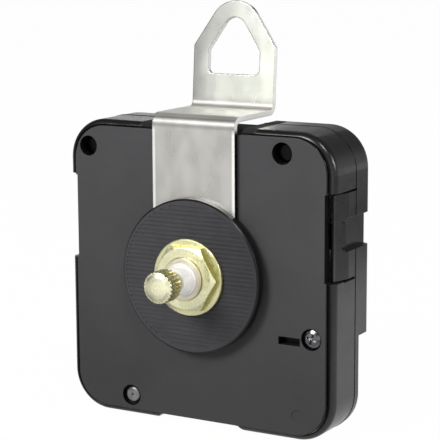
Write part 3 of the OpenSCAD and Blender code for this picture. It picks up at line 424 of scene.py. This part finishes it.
def circuit():
    """Green board, lighter where its tracks run."""
    m = Mat("board", Metallic=0.0)
    tracks = m.noise(700, 2)
    m.color(m.ramp(
        tracks,
        (0.42, (0.02, 0.1, 0.045)),
        (0.5, (0.03, 0.16, 0.07)),
        (0.58, (0.02, 0.11, 0.05)),
    ))
    m.rough(m.patches(m.noise(500, 2), 0.3, 0.42))
    m.bump(m.noise(1800, 2), 0.01, 0.4)
    return m


def dress(mat, *names):
    """Gives a material to the CAD nodes of these names."""
    for name in names:
        slots = nodes[name].data.materials
        if not slots:
            slots.append(mat.material)
        for k in range(len(slots)):
            slots[k] = mat.material


brass = brass_shaded_sides("brass", (1.0, 0.97, 0.68), (0.8, 0.73, 0.42), 0.24, edge=0.3)
dull_steel = metal("dull_steel", (0.5, 0.51, 0.53), 0.4, 900, stretch=(1, 1, 4), bump=0.2)
copper = metal("copper", (0.8, 0.36, 0.16), 0.35, 120, stretch=(60, 1, 1), bump=0.6)
nickel = metal("nickel", (0.7, 0.69, 0.68), 0.25)
white = light_plastic("white_plastic", (0.99, 0.95, 0.93), translucent=0.6)
natural = light_plastic("natural_plastic", (0.78, 0.75, 0.66), 0.42)

dress(face_plastic(), "front_cover")
dress(shell_plastic(), "rear_housing")
dress(threaded_brass(), "threaded_bush")
dress(brass, "cap_nut", "minute_arbor")
dress(brass_shaded_sides("brass_nut", (1.0, 0.96, 0.62), (0.5, 0.44, 0.14), 0.3, edge=0.12), "hex_nut")
dress(brass_shaded_sides("brass_disc", (0.88, 0.87, 0.5), (0.5, 0.46, 0.16), 0.3, edge=0.15), "brass_washer")
dress(black_rubber(), "rubber_washer")
dress(plated_strap(), "hanger_strap")
dress(metal("dark_zinc", (0.2, 0.2, 0.21), 0.18), "case_screw")
dress(metal("dull_tin", (0.36, 0.36, 0.37), 0.45, bump=0.2), "corner_rivet")
dress(dull_steel, "stator", "coil_core")
dress(copper, "coil_winding")
dress(nickel, "clutch_spring", "second_arbor", "quartz_crystal")
dress(nickel, "battery_contact_negative", "battery_contact_positive")
dress(circuit(), "circuit_board")
dress(sintered(), "rotor_magnet", "chip_blob")
dress(white, "hour_wheel", "rotor_pinion")
dress(natural, "centre_wheel", "third_wheel", "second_wheel", "fifth_wheel", "minute_wheel")
dress(natural, "setting_pinion", "coil_bobbin", "middle_plate")
dress(light_plastic("knob_plastic", (0.8, 0.79, 0.74), 0.42), "set_knob")


# surroundings: plain white to the camera, a studio to what the object mirrors
FAR_LEFT = (-0.62, -0.46)  # the share of x in a direction from which the studio is dimmer


def ray_masks(n):
    """1 for what the camera sees itself or through glass, and 1 for what something shiny mirrors."""
    path = n.new("LightPath")
    shown = n.math("MAXIMUM", path.outputs["Is Camera Ray"], path.outputs["Is Transmission Ray"])
    return shown, path.outputs["Is Glossy Ray"]


def white_world(ambient):
    """White to the camera, pale grey to the object. Shiny parts mirror it as lighter near the table."""
    world = bpy.data.worlds.new("studio")
    bpy.context.scene.world = world
    world.use_nodes = True
    w = Nodes(world.node_tree)
    w.tree.nodes.clear()
    out = w.new("OutputWorld")
    background = w.new("Background")
    background.inputs["Color"].default_value = (1, 1, 1, 1)
    # a direction is x to the right, y to the back and z up, in shares of 1, and each pair is a fade
    behind = (0.4, 0.66)
    in_front = (-0.75, -0.5)
    on_the_right = (0.6, 0.8)
    low = (0.1, 0.34)
    low_in_front = (0.15, 0.45)
    from_left_to_right = (-0.1, 0.3)
    x, y, z = w.parts(w.new("TexCoord").outputs["Generated"])
    near_table = w.step(z, *low, 1.0, 0.0)
    back = w.times(w.step(y, *behind), near_table, w.step(x, *from_left_to_right, 0.8, 0.3))
    front = w.times(w.step(y, *in_front, 0.76, 0.0), w.step(z, *low_in_front, 1.0, 0.0))
    front = w.times(front, w.step(x, *FAR_LEFT, 0.5, 1.0))
    right = w.times(w.step(x, *on_the_right, 0.0, 0.24), near_table)
    above = w.step(y, *behind, 0.04, 0.12)
    mirrored = w.plus(above, back, front, right)
    shown, glossy = ray_masks(w)
    level = w.math("MULTIPLY_ADD", glossy, w.minus(mirrored, ambient), ambient)
    w.join(w.math("MAXIMUM", level, shown), background.inputs["Strength"])
    w.join(background.outputs[0], out.inputs["Surface"])


def floor_material(plain_white):
    """Plain white to the camera, but for a small share that shows the object's shadow."""
    material = bpy.data.materials.new("floor_white")
    material.use_nodes = True
    f = Nodes(material.node_tree)
    matt = f.tree.nodes["Principled BSDF"]
    matt.inputs["Base Color"].default_value = (0.8, 0.8, 0.8, 1)
    matt.inputs["Roughness"].default_value = 0.9
    matt.inputs["Specular IOR Level"].default_value = 0.0
    glow = f.new("Emission")
    blend = f.new("MixShader")
    place = f.new("TexCoord").outputs["Object"]
    x, y, _ = f.parts(place)
    length = f.new("VectorMath")
    length.operation = "LENGTH"
    f.join(place, length.inputs[0])
    far = length.outputs["Value"]
    # what the object mirrors: behind it a white sheet that ends a hand's breadth away, with
    # another one further off, and in front a floor that gets lighter with the distance. Each
    # pair is where one level fades into the next, in metres from the shaft
    sheet_end = (0.15, 0.22)
    next_sheet = (0.35, 0.42)
    front_start = (0.05, 0.14)
    front_end = (0.17, 0.22)
    right_part = (0.3, 0.6)  # by the share of x in the direction, as FAR_LEFT
    depth = f.plus(f.times(x, 0.5), f.times(y, 0.86))
    behind = f.step(depth, -0.03, 0.03)
    back = f.plus(f.step(far, *sheet_end, 0.9, 0.2), f.step(far, *next_sheet, 0.0, 0.55))
    front = f.plus(f.step(far, *front_start, 0.4, 1.15), f.step(far, *front_end, 0.0, -0.17))
    heading = f.math("DIVIDE", x, far)
    dim_right = f.times(f.step(heading, *right_part), f.step(far, *front_end, 0.8, 0.0))
    front = f.times(front, f.step(heading, *FAR_LEFT, 0.5, 1.0), f.minus(1.0, dim_right))
    sheet = f.plus(f.times(behind, back), f.times(front, f.minus(1.0, behind)))
    shown, glossy = ray_masks(f)
    f.join(f.math("MAXIMUM", shown, sheet), glow.inputs["Strength"])
    f.join(f.math("MAXIMUM", f.times(shown, plain_white), glossy), blend.inputs[0])
    f.join(matt.outputs[0], blend.inputs[1])
    f.join(glow.outputs[0], blend.inputs[2])
    f.join(blend.outputs[0], f.tree.nodes["Material Output"].inputs["Surface"])
    return material


def lay_floor(half, material):
    """A square floor just under the case, its half side in metres."""
    gap = 0.02
    z = (case_bottom - gap) * MM
    mesh = bpy.data.meshes.new("floor")
    corners = [(-half, -half, z), (half, -half, z), (half, half, z), (-half, half, z)]
    mesh.from_pydata(corners, [], [(0, 1, 2, 3)])
    mesh.materials.append(material)
    floor = bpy.data.objects.new("floor", mesh)
    bpy.context.scene.collection.objects.link(floor)


def softbox(name, direction, distance, side, watts):
    """A square lamp that shines on the case from a distance, which is in metres as its side is."""
    aim_depth = 10
    aim = Vector((0, aim_depth * MM, 0))
    place = aim + Vector(direction).normalized() * distance
    data = bpy.data.lights.new(name, "AREA")
    data.shape = "SQUARE"
    data.size = side
    data.energy = watts
    lamp = bpy.data.objects.new(name, data)
    lamp.location = place
    lamp.rotation_mode = "QUATERNION"
    lamp.rotation_quaternion = (aim - place).to_track_quat("-Z", "Y")
    bpy.context.scene.collection.objects.link(lamp)


white_world(ambient=0.16)
lay_floor(3.0, floor_material(plain_white=0.985))
softbox("key_left", (-0.3, -0.8, 0.5), distance=0.65, side=0.24, watts=3.25)
softbox("side_right", (0.9, -0.02, 0.35), distance=0.6, side=0.14, watts=1.3)
softbox("back_fill", (-0.35, 0.75, 0.5), distance=0.7, side=0.25, watts=0.45)
softbox("corner_light", (0.44, -0.45, 0.75), distance=0.6, side=0.1, watts=0.85)

bpy.context.scene.view_settings.view_transform = "Standard"
